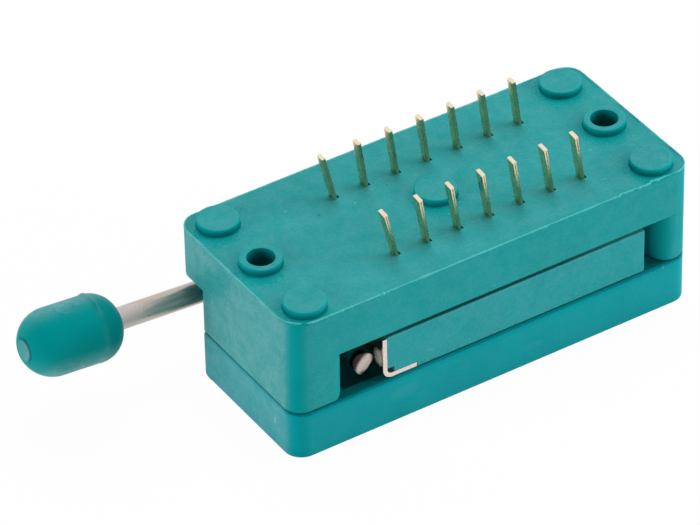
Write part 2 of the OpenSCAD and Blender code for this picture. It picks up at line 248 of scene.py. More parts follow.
def flatSweep(path, section):
    # carries a section (across, up) along a flat path: across lies in the path's plane, up is its normal
    way = np.gradient(path, axis=0)
    way /= np.linalg.norm(way, axis=1)[:, None]
    across = np.stack([way[:, 1], -way[:, 0]], axis=1)
    flat = path[:, None, :] + across[:, None, :] * section[:, 0, None]
    up = np.broadcast_to(section[:, 1, None], (*flat.shape[:2], 1))
    return np.concatenate([flat, up], axis=-1)


def smoothNoise(count, knots, seed):
    # closed curve of random heights from 0 to 1, eased between its knots
    heights = np.random.default_rng(seed).random(knots)
    t = np.arange(count) / count * knots
    low, share = t.astype(int) % knots, t % 1
    ease = share * share * (3 - 2 * share)
    return heights[low] * (1 - ease) + heights[(low + 1) % knots] * ease


# Material helpers

noiseSpan = (0.3, 0.7)          # most of a noise's values lie between these
broadSpan = (0.25, 0.75)


def newMaterial(name):
    material = bpy.data.materials.new(name)
    material.use_nodes = True
    return material, material.node_tree


def feed(tree, socket, value):
    # links an output, or sets a number, a vector or a colour of three parts
    if isinstance(value, bpy.types.NodeSocket):
        tree.links.new(value, socket)
    elif socket.type == "RGBA":
        socket.default_value = (*value, 1)
    else:
        socket.default_value = value


def addNode(tree, kind, settings=None, **inputs):
    # a shader node with its settings and inputs; i0, i1 and so on name an input by its place
    made = tree.nodes.new("ShaderNode" + kind)
    for key, value in (settings or {}).items():
        setattr(made, key, value)
    for key, value in inputs.items():
        byPlace = key[0] == "i" and key[1:].isdigit()
        feed(tree, made.inputs[int(key[1:]) if byPlace else key], value)
    return made


def shade(material, inputs):
    # fills the sockets of the material's own shader
    tree = material.node_tree
    for key, value in inputs.items():
        feed(tree, tree.nodes["Principled BSDF"].inputs[key], value)
    return material


def painted(tree, attribute):
    return addNode(tree, "Attribute", {"attribute_name": attribute}).outputs["Fac"]


def objectPlace(tree):
    return addNode(tree, "TexCoord").outputs["Object"]


def noise(tree, place, size, detail=2.0, rough=0.5):
    # noise whose lumps are about size millimetres across
    made = addNode(tree, "TexNoise", Vector=place, Scale=1 / (size * mm), Detail=detail, Roughness=rough)
    return made.outputs["Fac"]


def sums(tree, operation, a, b):
    return addNode(tree, "Math", {"operation": operation}, i0=a, i1=b).outputs[0]


def spread(tree, value, low, high, newLow=0.0, newHigh=1.0):
    # eases from newLow to newHigh while the value goes from low to high
    made = addNode(tree, "MapRange", {"interpolation_type": "SMOOTHSTEP"},
                   i0=value, i1=low, i2=high, i3=newLow, i4=newHigh)
    return made.outputs["Result"]


def mixColour(tree, share, first, second):
    return addNode(tree, "Mix", {"data_type": "RGBA"}, i0=share, i6=first, i7=second).outputs[2]


def bump(tree, height, depth):
    # depth in millimetres between the lowest and the highest point
    made = addNode(tree, "Bump", Height=height, Strength=1.0, Distance=depth * mm)
    return made.outputs["Normal"]


# Moulded plastic

plastic = {
    "teal": (0.0, 0.300, 0.308),          # linear colour of the moulding
    "paleTeal": (0.001, 0.325, 0.335),    # streaks of the melt
    "paintedLightAndMarks": (0.62, 0.80, 0.83),          # painted sheen on the faces, and the colour of the pale marks and specks
    "dark": (0.0, 0.10, 0.11),            # painted shade and stains
    "grain": 0.22,                        # size of the mould's spark grain, mm
    "grainDepth": 0.006,
    "flow": 5.0,                          # size of the melt's streaks, mm
    "clouds": 1.1,                        # size of the clouds in the bloom, mm
    "mottle": (0.72, 1.28),               # least and most painted sheen that the grain and the clouds leave
    "speckCell": 2.3,                     # size of the cells that may hold a speck, mm
    "speckSize": (0.04, 0.025),           # shares of the cell where a speck ends and where it is full
    "speckRare": (0.84, 0.86),            # the cell's draw from which it has one
    "speckBloom": 0.22,
    "footFade": (0.08, 0.15),             # mm under the rim and over the deck, where the painted shade on the feet's sides fades
    "dustGone": 0.25,                     # painted shade and stains from which no sheen of dust is left
    "specular": 0.025,
    "roughness": (0.36, 0.50),
}
paintedLightAndMarks = {                                 # share of painted sheen by the way a face looks, and shares of painted shade
    "walls": (0.148, 0.038),              # ends and long sides
    "coverWalls": (0.125, 0.016),
    "deck": 0.066,
    "focus": 20,                          # how fast it fades round the corners
    "footSideShade": 0.65,                    # painted shade on the sides of the feet
    "footFrom": 0.1,                      # mm over the deck, from which a wall is a foot's side
    "upright": 0.5,                       # and the most that it may look up
    "slotShade": 0.9,                     # painted shade in the lead slots
    "slotHalf": 0.7,                      # mm from a contact's centre that still count as its slot
    "slotDepth": 3.0,
    "holeShade": 0.25,                    # painted shade in the bosses' holes
}
markRim = {                               # how a mark's rim breaks up
    "lumps": 0.13,                        # size, mm
    "ragged": 0.22,                       # share of the half sizes that the lumps take or give
    "fade": (1.05, 0.6),                  # shares of the half sizes where it ends and where it is full
}


def paintSheenAndShade(piece, s, onCover):
    # painted sheen of each face by the way it looks, and painted shade by where it lies
    normals = readRows(piece.data.polygons, "normal")
    middles = readRows(piece.data.polygons, "center") / mm
    along, across, up = np.abs(normals).T ** s["focus"]
    ends, sides = s["coverWalls" if onCover else "walls"]
    height = middles[:, 2]
    outward = normals[:, 0] * middles[:, 0] > 0
    off = np.abs(middles[:, None, :2] - contactPlaces)
    inSlot = (off < s["slotHalf"]).all(axis=-1).any(axis=1)
    inSlot &= (height > deckZ - s["slotDepth"]) & (height < deckZ - touch)
    toBoss = np.linalg.norm(middles[:, None, :2] - bosses[:, :2], axis=-1).min(axis=1)
    inHole = toBoss < body["holeRadius"] + touch
    footSide = (height > deckZ + s["footFrom"]) & (up < s["upright"])
    onWalls = (ends * along * outward + sides * across) * ~(footSide | inSlot | inHole)
    paint(piece, "paintedLightAndMarks", onWalls + s["deck"] * up, "FACE")
    shadeAndStains = np.maximum(s["footSideShade"] * (footSide & ~inHole), s["slotShade"] * inSlot)
    paint(piece, "shadeAndStains", np.maximum(shadeAndStains, s["holeShade"] * inHole), "FACE")


def markMask(tree, place, at, half, turn, strength):
    # strength inside an ellipsoid of the half sizes, turned about Z, and 0 outside
    local = addNode(tree, "Mapping", {"vector_type": "TEXTURE"}, Vector=place, Location=np.multiply(at, mm),
                    Rotation=(0, 0, radians(turn)), Scale=np.multiply(half, mm))
    far = addNode(tree, "VectorMath", {"operation": "LENGTH"}, i0=local.outputs[0]).outputs["Value"]
    lumps = noise(tree, place, markRim["lumps"])
    ragged = spread(tree, lumps, *noiseSpan, -markRim["ragged"], markRim["ragged"])
    return spread(tree, sums(tree, "ADD", far, ragged), *markRim["fade"], 0, strength)


def dustSpecks(tree, place):
    # a pale speck in some of the cells
    cells = addNode(tree, "TexVoronoi", Vector=place, Scale=1 / (plastic["speckCell"] * mm)).outputs
    near = spread(tree, cells["Distance"], *plastic["speckSize"])
    draw = addNode(tree, "SeparateColor", Color=cells["Color"]).outputs[0]
    rare = spread(tree, draw, *plastic["speckRare"])
    return sums(tree, "MULTIPLY", sums(tree, "MULTIPLY", near, rare), plastic["speckBloom"])


def plasticMaterial(name, tint=(1, 1, 1), pale=(), shadeAndStainMarks=(), sheenCuts=(), extraPaleAndSheen=0.0,
                    dust=0.0, dustEdge=0.35, feet=False):
    material, tree = newMaterial(name)
    place = objectPlace(tree)
    grain = noise(tree, place, plastic["grain"], detail=3)
    flow = noise(tree, place, plastic["flow"], detail=4, rough=0.6)
    clouds = noise(tree, place, plastic["clouds"], detail=4, rough=0.65)
    low, high = [tuple(np.multiply(plastic[key], tint)) for key in ("teal", "paleTeal")]
    colour = mixColour(tree, spread(tree, flow, *noiseSpan), low, high)
    # painted sheen: by the faces, broken up by the grain and by larger clouds, taken out in patches of
    # painted shade, with pale marks
    mottle = sums(tree, "MULTIPLY", spread(tree, grain, *broadSpan, *plastic["mottle"]),
                  spread(tree, clouds, *noiseSpan, *plastic["mottle"]))
    share = sums(tree, "MULTIPLY", sums(tree, "ADD", painted(tree, "paintedLightAndMarks"), extraPaleAndSheen), mottle)
    for mark in sheenCuts:
        left = sums(tree, "SUBTRACT", 1.0, markMask(tree, place, *mark))
        share = sums(tree, "MULTIPLY", share, left)
    share = sums(tree, "MAXIMUM", share, dustSpecks(tree, place))
    for mark in pale:
        share = sums(tree, "MAXIMUM", share, markMask(tree, place, *mark))
    colour = mixColour(tree, share, colour, plastic["paintedLightAndMarks"])
    # painted shade from the attribute and from the shade marks, with the real stains, darkens the colour
    shadeAndStains = painted(tree, "shadeAndStains")
    if feet:
        # the painted shade on the feet's sides thins out towards their rims
        height = addNode(tree, "SeparateXYZ", Vector=place).outputs["Z"]
        under, over = plastic["footFade"]
        fading = spread(tree, height, (seatZ - under) * mm, (deckZ + over) * mm)
        shadeAndStains = sums(tree, "MULTIPLY", shadeAndStains, fading)
    for mark in shadeAndStainMarks:
        shadeAndStains = sums(tree, "MAXIMUM", shadeAndStains, markMask(tree, place, *mark))
    return shade(material, {
        "Base Color": mixColour(tree, shadeAndStains, colour, plastic["dark"]),
        "Roughness": spread(tree, grain, *noiseSpan, *plastic["roughness"]),
        "Specular IOR Level": plastic["specular"],
        "Sheen Weight": spread(tree, shadeAndStains, plastic["dustGone"], 0, 0, dust),
        "Sheen Roughness": dustEdge,
        "Normal": bump(tree, grain, plastic["grainDepth"]),
    })


# Metals

steel = {
    "dull": 0.76,                         # share of the colour that the darker streaks keep
    "shearShade": 0.06,                         # and the painted shade on the sheared end
    "streakSpan": (0.3, 0.75),            # values of the noise where a streak is dull and where it is bright
    "relief": 0.005,                      # depth of the streaks, mm
}


def steelMaterial(name, colour, roughness, grain, stretch=(1, 1, 1), worn=()):
    # streaks along the axis whose stretch is small; a painted attribute darkens the sheared end's fallen
    # facets as painted shade
    material, tree = newMaterial(name)
    place = objectPlace(tree)
    drawn = addNode(tree, "Mapping", Vector=place, Scale=stretch).outputs[0]
    streaks = noise(tree, drawn, grain, detail=4, rough=0.65)
    dull, dark = [tuple(np.multiply(colour, steel[key])) for key in ("dull", "shearShade")]
    surface = mixColour(tree, spread(tree, streaks, *steel["streakSpan"]), dull, colour)
    surface = mixColour(tree, painted(tree, "shearShade"), surface, dark)
    metallic = 1.0
    # each listed patch is a painted reflection: a pale, less metallic spot
    for *mark, matt in worn:
        share = markMask(tree, place, *mark)
        surface = mixColour(tree, share, surface, matt)
        metallic = sums(tree, "SUBTRACT", metallic, share)
    return shade(material, {
        "Base Color": surface,
        "Metallic": metallic,
        "Roughness": spread(tree, streaks, *broadSpan, *roughness),
        "Normal": bump(tree, streaks, steel["relief"]),
    })


gold = {
    "plate": (0.88, 0.61, 0.31),
    "thin": (0.79, 0.51, 0.255),
    "edge": (0.86, 0.72, 0.50),           # painted highlight on the front row's narrow sides
    "tip": (0.85, 0.74, 0.55),            # painted highlight on the tip's cut
    "dull": (0.64, 0.45, 0.26),           # painted shade on the narrow sides
    "copper": (0.40, 0.20, 0.09),         # bare strip in the middle of the sheared edges
    "clouds": 0.5,                        # size of the thin places, mm
    "lumps": 0.12,                        # size of the lumps that break up the bare strip, mm
    "lumpSpan": (0.2, 0.8, -0.25, 0.25),  # values of the noise, and what they take off or add to the strip
    "bareFrom": (0.5, 0.85),              # where the strip ends and where it is full
    "bareRough": 0.2,                     # how much rougher the strip is
    "relief": 0.0008,                     # mm
    "roughness": (0.20, 0.34),
    "metallic": 0.985,
}


def goldMaterial(name):
    # plating with thin clouds, painted shade and painted highlights on the narrow sides and a painted
    # highlight on the tip; later finishes go over earlier ones
    material, tree = newMaterial(name)
    place = objectPlace(tree)
    clouds = noise(tree, place, gold["clouds"], detail=3)
    lumps = noise(tree, place, gold["lumps"])
    ragged = sums(tree, "ADD", painted(tree, "cutEdge"), spread(tree, lumps, *gold["lumpSpan"]))
    bare = spread(tree, ragged, *gold["bareFrom"])
    finishes = {
        "dull": painted(tree, "sideShade"),
        "edge": painted(tree, "narrowSide"),
        "copper": bare,
        "tip": painted(tree, "tipHighlight"),
    }
    colour = mixColour(tree, spread(tree, clouds, *noiseSpan), gold["thin"], gold["plate"])
    for finish, share in finishes.items():
        colour = mixColour(tree, share, colour, gold[finish])
    plated = spread(tree, clouds, *noiseSpan, *gold["roughness"])
    return shade(material, {
        "Base Color": colour,
        "Metallic": gold["metallic"],
        "Roughness": sums(tree, "ADD", plated, sums(tree, "MULTIPLY", bare, gold["bareRough"])),
        "Normal": bump(tree, lumps, gold["relief"]),
    })


# Marks: centre and half sizes in millimetres, turn about Z in degrees, strength; the painted reflections on
# the steels also give the colour of their matt patch

wide = 100.0                    # half size of a mark that runs past the whole object
bayZ = seamZ + body["bayHeight"]
deckMarks = [
    ((leftX, -0.8, 7.8), (0.5, 1.2, 0.9), 0, 0.165),
    ((11.56, -1.82, deckZ), (0.16, 0.07, 0.3), -45, 0.20),
    ((10.44, -5.10, deckZ), (0.32, 0.05, 0.3), -16, 0.16),
    ((-5.13, 2.21, deckZ), (0.12, 0.07, 0.3), 60, 0.17),
    ((-0.53, -2.43, deckZ), (0.10, 0.07, 0.3), 0, 0.16),
    ((6.29, 3.18, deckZ), (1.9, 0.045, 0.3), 8, 0.12),
    ((-9.13, 5.26, deckZ), (0.10, 0.08, 0.3), 0, 0.16),
    ((-9.56, 4.07, deckZ), (0.16, 0.10, 0.3), 30, 0.17),
    ((-6.9, -0.4, deckZ), (0.55, 0.035, 0.3), 70, 0.08),
    ((3.9, 6.1, deckZ), (0.8, 0.035, 0.3), -12, 0.08),
]
mouldLines = [
    ((10.9, frontY, 9.65), (0.045, 0.3, 1.1), 0, 0.10),
    ((11.3, frontY, 9.65), (0.045, 0.3, 1.1), 0, 0.12),
    ((-4.2, -frontY, 9.65), (0.045, 0.3, 1.1), 0, 0.12),
]
deckStains = [
    ((-7.89, 2.46, deckZ), (0.13, 0.10, 0.3), 0, 0.45),
    ((-2.21, 2.70, deckZ), (0.11, 0.09, 0.3), 0, 0.4),
    ((-11.1, 1.2, deckZ), (0.10, 0.07, 0.3), 0, 0.25),
]
# painted shade along the parting line
seamShade = [((0, 0, seamZ), (wide, wide, 0.2), 0, 0.28)]
# painted shade on the cover's top below the parting line, strongest at the front
coverSeamShade = [
    ((0, frontY, seamZ), (wide, 1.4, 0.27), 0, 0.6),
    ((0, 0, seamZ), (wide, wide, 0.18), 0, 0.15),
]
# painted shade: the painted sheen is taken out just below the cover's seam, most at the front
seamSheenCut = [
    ((0, frontY, seamZ), (wide, 1.4, 0.7), 0, 0.9),
    ((0, 0, seamZ), (wide, wide, 0.4), 0, 0.4),
]
# painted shade under the deck's eave over the slide's bay
eaveShade = [((0.9, 0, bayZ), (13.4, wide, 0.12), 0, 0.3)]
# painted shade in the gaps along the slide's lower and upper edges
slideGapShade = [
    ((0, 0, seamZ + 0.05), (wide, wide, 0.12), 0, 0.75),
    ((0, 0, bayZ - 0.1), (wide, wide, 0.1), 0, 0.25),
]
rodShade = [                    # patches of painted shade on the left end, where the painted sheen is taken out
    ((leftX, 4.0, 7.8), (1.2, 1.4, 1.1), 0, 0.62),
    ((leftX, 2.6, 8.9), (1.2, 1.7, 1.2), 0, 0.62),
    ((leftX, 1.3, 10.2), (1.2, 1.3, 1.1), 0, 0.5),
]
# painted shade on the deck beside each foot, where the painted sheen is taken out
footShade = [((x - 0.5, y - 0.7, deckZ), (1.9, 1.9, 0.3), 0, 0.9) for x, y in feet[:, :2]]
coverMarks = [
    ((leftX, -4.79, 2.03), (0.3, 0.16, 0.42), 0, 0.34),
    ((-7.4, frontY, 2.2), (1.5, 0.3, 0.7), 0, 0.035),
    ((3.1, frontY, 1.5), (1.1, 0.3, 0.4), 0, 0.03),
    ((13.97, frontY, 3.51), (0.08, 0.3, 0.08), 0, 0.22),
]
slideMarks = [
    ((-5.3, -7.2, 4.74), (0.26, 0.3, 0.05), 0, 0.17),
    ((2.4, -7.2, 6.3), (0.7, 0.3, 0.04), 0, 0.06),
]
coverLines = [((10.56, frontY, 1.9), (0.045, 0.3, 1.5), 0, 0.12)]
platePaintedReflection = [                   # painted reflection on the plate, beside the crank's end
    ((-9.1, -6.6, 5.45), (0.2, 0.62, 0.72), 0, 1.0, (0.92, 0.80, 0.70)),
]
rodPaintedReflection = [                     # painted reflection beside the knob, pale and matt
    ((-21.8, 5.5, 6.4), (2.1, 1.2, 1.2), 0, 0.75, (0.68, 0.61, 0.57)),
]
knobMarks = [((-24.95, 6.35, 8.7), (0.75, 0.42, 0.5), 0, 0.12)]
knobStains = [
    ((-25.3, 6.15, 8.7), (0.16, 0.06, 0.4), 30, 0.5),
    ((-24.55, 6.4, 8.7), (0.14, 0.05, 0.4), -25, 0.6),
    ((-24.95, 6.0, 8.7), (0.3, 0.04, 0.4), 8, 0.35),
]

housingPlastic = plasticMaterial(
    "housingPlastic", pale=deckMarks, shadeAndStainMarks=deckStains + mouldLines + seamShade + eaveShade,
    sheenCuts=rodShade + footShade, dust=0.15, dustEdge=0.15, feet=True)
# the cover is a lighter copy of the plastic: painted light
coverPlastic = plasticMaterial(
    "coverPlastic", (1, 1.05, 1.12), pale=coverMarks, shadeAndStainMarks=coverLines + coverSeamShade,
    sheenCuts=seamSheenCut, dust=0.15, dustEdge=0.15)
# the slide takes a little painted sheen all over
slidePlastic = plasticMaterial(
    "slidePlastic", (1, 1.02, 1.05), pale=slideMarks, shadeAndStainMarks=slideGapShade, extraPaleAndSheen=0.016)
# the knob is a darker copy of the plastic: painted shade
knobPlastic = plasticMaterial(
    "knobPlastic", (1, 0.91, 0.89), pale=knobMarks, shadeAndStainMarks=knobStains, dust=0.16, dustEdge=0.15)
# a lighter copy for the slide's rounded edges and the rings on the feet: worn edges, with painted highlights
# on them
wornEdgeHighlightPlastic = plasticMaterial("wornEdgeHighlightPlastic", (1, 1.12, 1.12), extraPaleAndSheen=0.06)
# a whitened copy for the mould flash: stress-whitened plastic, and partly a painted highlight along the
# deck's edge
flashHighlightPlastic = plasticMaterial("flashHighlightPlastic", (1, 1.5, 1.45), extraPaleAndSheen=0.15)
rodSteel = steelMaterial("rodSteel", (0.63, 0.54, 0.49), (0.28, 0.42), 0.09, (0.05, 1, 1), rodPaintedReflection)
plateSteel = steelMaterial("plateSteel", (0.84, 0.76, 0.68), (0.10, 0.2), 0.12, (1, 0.1, 1), platePaintedReflection)
screwSteel = steelMaterial("screwSteel", (0.62, 0.61, 0.58), (0.22, 0.38), 0.15)
contactGold = goldMaterial("contactGold")
print("materials made:", len(bpy.data.materials))


# Housing and slide

edges = {                       # widths of the rounded edges, mm
    "rim": 0.15,                # tops of the feet and bosses
    "footing": 0.06,            # inside corner round the feet
    "deck": 0.04,
    "slot": 0.03,               # openings on the cover's lower face, and the bosses' holes
    "seam": 0.13,
    "open": 0.07,               # window, notch and other edges of the outline
    "table": 0.06,              # lower edge of the cover
    "notchFoot": 0.45,          # lower edge of the cover's notch
    "plain": 0.0,
    "slide": 0.09,
    "metal": 0.05,
}
edgeTurns = (12, 60)            # degrees of turn where the rounding begins and where it is full
fitting = {                     # differences from the frame, and limits that tell parts apart, mm
    "nearRadius": 2.1,          # the deck's rounding at the corner next to the camera
    "nearCuts": (1.6, 1.85, 2.1),   # splits beside it, from the corner
    # splits along the base that keep the eave's rounding even near the legs
    "eaveCuts": (-12.86, -12.7, -12.5, -12.3, 14.3, 14.5, 14.7, 14.9),
    "notchReach": 0.675,        # how far the cover's edges stay plain beside the notch's rounded foot
    "notchShift": 0.08,         # how much further out the notch's wall stands
    "notchTop": 0.5,            # the wall ends at least this much below the deck
    "partingGap": 0.05,         # the base's legs stop this short of the cover
    "legHeight": 1.0,           # what ends lower than this over the seam is a leg's foot
    "legInset": 0.6,            # and lies no further in from the long sides
    "footMargin": 0.2,          # what moves with a foot round it
    "holeEdge": 1.2,            # edges nearer than this to a boss's axis belong to its hole
    "slotClosed": 0.06,         # how much the lead slots close round the tails at the deck
    "slotHalf": 0.6,            # a slot's points lie nearer than this to its contact's centre
    "slotSides": (-0.1, -0.2),  # and its left and front sides lie beyond these
    "drop": {"slide": 0.09, "wear_plate": 0.12},    # how much lower their upper edges are
}


def edgeWidths(turn, rules):
    # later rules go over earlier ones
    widths = np.zeros(len(turn))
    for chosen, width in rules:
        widths[chosen] = edges[width]
    start, full = edgeTurns
    return widths * np.clip((np.abs(turn) - start) / (full - start), 0, 1)


def roundNear(points, inset=0.0):
    # draws in what lies outside the wider rounding of the corner next to the camera
    reach = fitting["nearRadius"] - inset
    off = points[..., :2] + halfBody - fitting["nearRadius"]
    far = np.linalg.norm(off, axis=-1)
    outside = (off < 0).all(axis=-1) & (far > reach)
    moved = points.copy()
    moved[..., :2] -= off * (outside * (1 - reach / np.maximum(far, reach)))[..., None]
    return moved


def baseCuts():
    # where the base's faces are split: (axis, place, test of a face)
    def sideFace(face):
        return abs(face.normal.y) > square or face.normal.z < -square

    def nearFront(face):
        return face.normal.y < -square and face.calc_center_median().y / mm < frontY + touch

    def nearEnd(face):
        return face.normal.x < -square and face.calc_center_median().x / mm < leftX + touch

    cuts = [((1, 0, 0), place, sideFace) for place in fitting["eaveCuts"]]
    cuts += [((1, 0, 0), leftX + place, nearFront) for place in fitting["nearCuts"]]
    return cuts + [((0, 1, 0), frontY + place, nearEnd) for place in fitting["nearCuts"]]


def coverCuts():
    # splits the edges beside the notch's lower corner, so that only the notch's own edge is rounded there
    def besideNotch(face):
        return face.normal.x < -square or face.normal.z < -square or face.normal.y > square

    reach = fitting["notchReach"]
    return [((0, 1, 0), body["notchY"] - reach, besideNotch), ((0, 0, 1), reach, besideNotch)]


def shiftNotch(points):
    # moves the notch's wall outwards
    onWall = np.abs(points[:, 1] - body["notchY"]) < touch
    onWall &= (points[:, 0] < body["notchEnd"]) & (points[:, 2] < deckZ - fitting["notchTop"])
    points[onWall, 1] += fitting["notchShift"]


def shapeBase(points):
    # lifts the legs' lower faces, so that the parting line is a true gap, rounds the near corner at the deck,
    # sets the feet in their places and closes the lead slots a little round the tails
    points[np.abs(points[:, 2] - seamZ) < touch, 2] += fitting["partingGap"]
    atDeck = np.abs(points[:, 2] - deckZ) < touch
    points[atDeck] = roundNear(points[atDeck])
    for foot in feet:
        near = np.linalg.norm(points[:, :2] - foot[:2], axis=1) < body["footRadius"] + fitting["footMargin"]
        points[near & (points[:, 2] > deckZ - touch), :2] += foot[2:]
    off = points[:, None, :2] - contactPlaces
    inField = atDeck[:, None] & (np.abs(off) < fitting["slotHalf"]).all(axis=-1)
    for axis, side in enumerate(fitting["slotSides"]):
        points[(inField & (off[..., axis] < side)).any(axis=1), axis] += fitting["slotClosed"]


def lowerSides(points, drop):
    # lowers the upper side edges of the slide or its plate a little below the deck's eave
    onSide = np.abs(points[:, 1]) > np.abs(points[:, 1]).max() - touch
    points[onSide & (points[:, 2] > points[onSide, 2].max() - touch), 2] -= drop


def baseRules(ends, turn):
    outline, outside = onOutline(ends), turn > 0
    toBoss = np.linalg.norm(np.abs(ends[..., :2]) - (endX, 0), axis=-1).max(axis=1)
    legFoot = ends[..., 2].max(axis=1) < seamZ + fitting["legHeight"]
    legFoot &= np.abs(ends[..., 1]).min(axis=1) > halfBody[1] - fitting["legInset"]
    return [(outline & outside, "open"),
            (legFoot & outside, "seam"),
            (bothAt(ends, 2, deckZ) & ~outside, "footing"),
            (bothAt(ends, 2, deckZ) & outline, "deck"),
            (bothAt(ends, 2, seatZ), "rim"),
            (bothAt(ends, 2, seatZ) & (toBoss < fitting["holeEdge"]), "slot"),
            (bothAt(ends, 2, seamZ) & outside & (toBoss > fitting["holeEdge"]), "seam")]


def coverRules(ends, turn):
    outline, outside = onOutline(ends), turn > 0
    reach = fitting["notchReach"] + touch
    onEnd, atNotch = bothAt(ends, 0, leftX), bothAt(ends, 1, body["notchY"])
    low = (ends[..., 2] < reach).all(axis=1) & (ends[..., 1] > body["notchY"] - reach).all(axis=1)
    return [(outline & outside, "open"),
            (bothAt(ends, 2, 0) & outside, "slot"),
            (bothAt(ends, 2, 0) & outline, "table"),
            (bothAt(ends, 2, 0) & atNotch, "notchFoot"),
            (onEnd & low, "plain"),
            (onEnd & atNotch, "plain"),
            (bothAt(ends, 2, seamZ) & outline, "seam")]


def slideRules(ends, turn):
    low, high = [np.array(corner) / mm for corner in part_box("slide")]
    faces = bothAt(ends, 1, low[1]) | bothAt(ends, 1, high[1]) | bothAt(ends, 0, high[0])
    return [(faces & (turn > 0), "slide")]


def metalRules(ends, turn):
    return [(turn > 0, "metal")]


moulded = {
    "baseMoulding": ("base", "housing", "housing_plastic", (housingPlastic,), baseRules),
    "coverMoulding": ("cover", "housing", "housing_plastic", (coverPlastic,), coverRules),
    "slideMoulding": ("slide", "actuator", "slide_plastic", (slidePlastic, wornEdgeHighlightPlastic), slideRules),
    "wearPlate": ("wear_plate", "actuator", "plate_steel", (plateSteel,), metalRules),
    "coverScrews": ("cover_screws", "housing", "screw_steel", (screwSteel,), metalRules),
}
faceCuts = {"base": baseCuts(), "cover": coverCuts()}
for pieceName, (node, bodyName, slotName, materials, rules) in moulded.items():
    piece = mouldedCopy(pieceName, node, faceCuts.get(node, ()))
    settle(piece, bodyName, slotName, materials, node)
    paintSheenAndShade(piece, paintedLightAndMarks, node == "cover")
    ends, turn = edgeTable(piece)
    softEdges(piece, edgeWidths(turn, rules(ends, turn)), turn)
    points = readRows(piece.data.vertices, "co") / mm
    if node in faceCuts:
        shiftNotch(points)
    if node == "base":
        shapeBase(points)
    if node in fitting["drop"]:
        lowerSides(points, fitting["drop"][node])
    piece.data.vertices.foreach_set("co", points.ravel() * mm)
    print("moulded", pieceName, len(piece.data.polygons), "faces")


# Mould flash round the deck

flash = {
    "points": 2400,
    "sides": 8,
    "knots": (90, 700, 330),        # of the coarse and the fine swelling, and of the creep
    "bead": 0.055,                  # radius of the bead
    "beadMix": (0.8, 0.25, 0.15),   # shares of it that are even, coarse and fine
    "ragged": 0.06,                 # how far the bead swells where the mould is worn
    "raggedLeast": 0.35,            # share of that where it isn't
    "sunk": (0.6, 0.4),             # the bead's middle below the deck, and what its coarse swelling takes off
    "overhang": 0.06,               # how far the bead stands out along the far edges
    "farBead": 0.085,               # its radius there
    "farMix": (0.94, 0.12),         # shares of it that are even and fine
    "worn": (8.5, 15.5, 2.0),       # worn stretch of the front edge: from, to, and the length of its fading
    "wornFacing": -0.9,             # and only where the outward normal's Y is below this
    "creep": (0.15, 0.3),           # how far the bead wanders on it, and the share that goes outwards
    "spots": [              # place, half length, gain of the bead: a gap and some blobs
        (-15.25, frontY, 0.28, -0.9),
        (-12.28, frontY, 0.10, 0.9),
        (-11.55, frontY, 0.08, 0.8),
        (-9.02, frontY, 0.09, 0.9),
        (leftX, -3.7, 0.08, 0.7),
        (leftX, 0.6, 0.10, 0.6),
        (4.1, frontY, 0.10, 0.7),
    ],
    "seed": 5,
}


def deckOutline(count, low, high, radius):
    # rounded rectangle walked at an even pace: its points and outward normals
    sizeX, sizeY = high[0] - low[0] - 2 * radius, high[1] - low[1] - 2 * radius
    arc = radius * pi / 2
    lengths = np.cumsum([0, sizeX, arc, sizeY, arc, sizeX, arc, sizeY, arc])
    s = np.arange(count) / count * lengths[-1]
    side = np.searchsorted(lengths, s, side="right") - 1
    quarter, part = side // 2, s - lengths[side]
    heading = quarter * pi / 2 + np.where(side % 2 == 1, part / radius, 0)
    normal = np.stack([np.sin(heading), -np.cos(heading)], axis=1)
    half = np.array([sizeX, sizeY]) / 2
    corner = np.array([(1, -1), (1, 1), (-1, 1), (-1, -1)])[quarter] * half
    way = np.stack([np.cos(quarter * pi / 2), np.sin(quarter * pi / 2)], axis=1)
    run = np.where(quarter % 2 == 0, sizeX, sizeY)
    straight = corner - way * np.where(side % 2 == 0, run - part, 0)[:, None]
    middle = (np.array(low[:2]) + np.array(high[:2])) / 2
    return straight + normal * radius + middle, normal


def rimFlash(s):
    # a small circle carried along the deck's edge, whose radius and place wander
    line, normal = deckOutline(s["points"], baseLow, baseHigh, body["cornerRadius"])
    coarse, fine, creep = [smoothNoise(s["points"], knots, s["seed"] + number)
                           for number, knots in enumerate(s["knots"])]
    start, end, fading = s["worn"]
    fromEnds = np.clip((line[:, 0] - start) / fading, 0, 1) * np.clip((end - line[:, 0]) / fading, 0, 1)
    wornness = fromEnds * (normal[:, 1] < s["wornFacing"])
    even, coarseShare, fineShare = s["beadMix"]
    swell = (s["raggedLeast"] + (1 - s["raggedLeast"]) * wornness) * coarse ** 2 * fine
    radius = s["bead"] * (even + coarseShare * coarse + fineShare * fine) + s["ragged"] * swell
    inward = s["bead"] + s["creep"][0] * wornness * (creep - s["creep"][1])
    farEdge = np.clip(normal.sum(axis=1), 0, 1)
    farRadius = s["farBead"] * (s["farMix"][0] + s["farMix"][1] * fine)
    radius = radius * (1 - farEdge) + farRadius * farEdge
    inward -= s["overhang"] * farEdge
    for x, y, half, gain in s["spots"]:
        radius = radius * (1 + gain * np.exp(-(np.hypot(line[:, 0] - x, line[:, 1] - y) / half) ** 4))
    line = roundNear(line - normal * inward[:, None], inward)
    a = np.arange(s["sides"]) / s["sides"] * 2 * pi
    flat = line[:, None, :] + (radius[:, None] * np.cos(a))[..., None] * normal[:, None, :]
    middle = deckZ - s["bead"] * (s["sunk"][0] - s["sunk"][1] * coarse)
    up = middle[:, None] + radius[:, None] * np.sin(a)
    rings = np.concatenate([flat, up[..., None]], axis=-1) * mm
    return rings.reshape(-1, 3), gridQuads(*rings.shape[:2], closeRows=True).tolist()


settle(addMesh("rimFlash", *rimFlash(flash)), "housing", "housing_plastic", (flashHighlightPlastic,))


# Raised rings on the feet and the bosses

